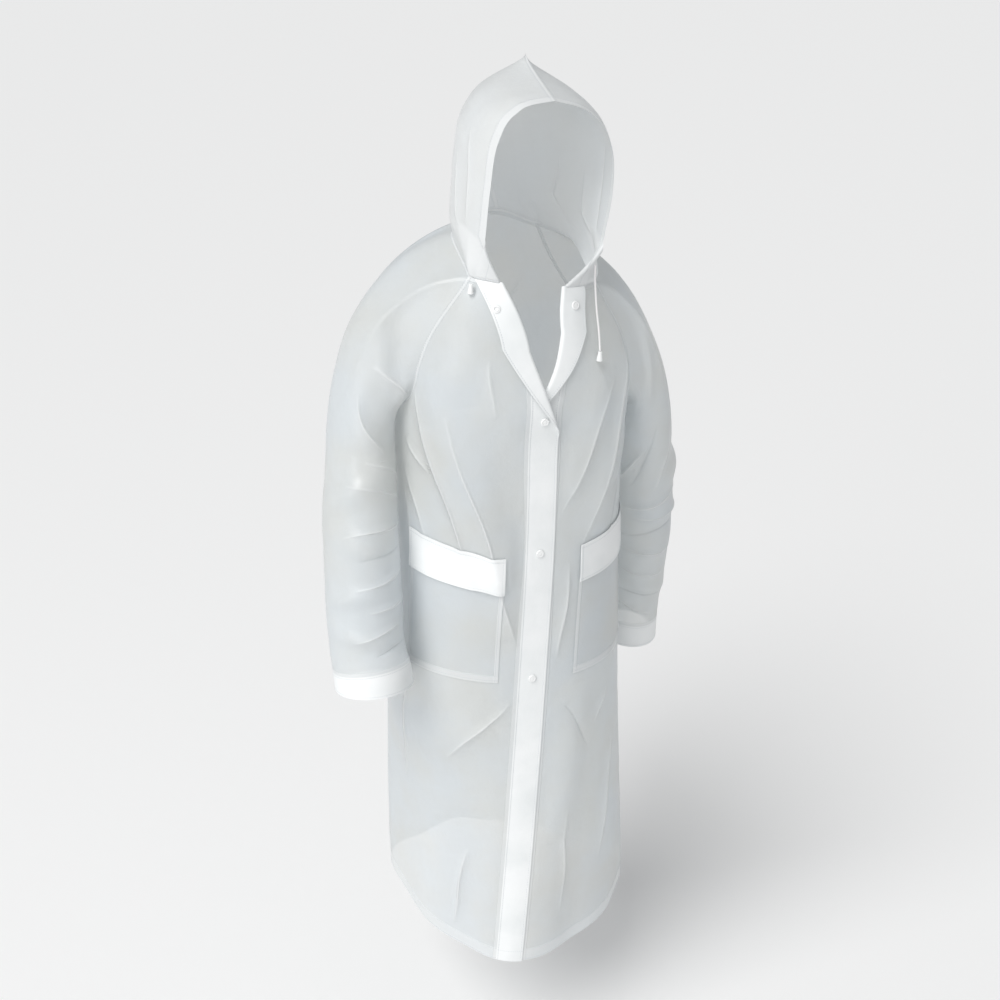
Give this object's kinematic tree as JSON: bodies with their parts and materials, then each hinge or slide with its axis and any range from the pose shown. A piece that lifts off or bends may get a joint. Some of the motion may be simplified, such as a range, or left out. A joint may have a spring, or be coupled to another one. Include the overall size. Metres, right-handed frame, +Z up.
{
  "type": "hooded raincoat",
  "caption": "Knee-length hooded raincoat of clear frosted film with white trim: raglan sleeves, snap front, flap pockets; worn hollow form with an open, turned-back neck.",
  "frame": {"origin": "on the body's axis at the shoulders, where the wearer holds the coat up", "axes": "+Z up, +X to the wearer's left, the front faces -Y"},
  "size_m": [0.6172, 0.3736, 1.475],
  "materials": {
    "film": "clear frosted film, soft gloss, milky where doubled",
    "trim": "opaque white coated cloth, satin",
    "snap": "white plastic snap",
    "cord": "white braided cord and its plastic end"
  },
  "bodies": {
    "root": {"front_right": "film", "front_left": "film", "back": "film", "sleeve_right": "film", "sleeve_left": "film", "hood_right": "film", "hood_left": "film", "band_right": "trim", "band_left": "trim", "pocket_right": "film", "pocket_left": "film", "flap_right": "trim", "flap_left": "trim", "cuff_right": "trim", "cuff_left": "trim", "snap_neck_right": "snap", "snap_neck_left": "snap", "snap_chest": "snap", "snap_waist": "snap", "snap_hip": "snap", "drawstring_left": "cord", "toggle_left": "cord", "toggle_right": "cord"}
  },
  "joints": []
}
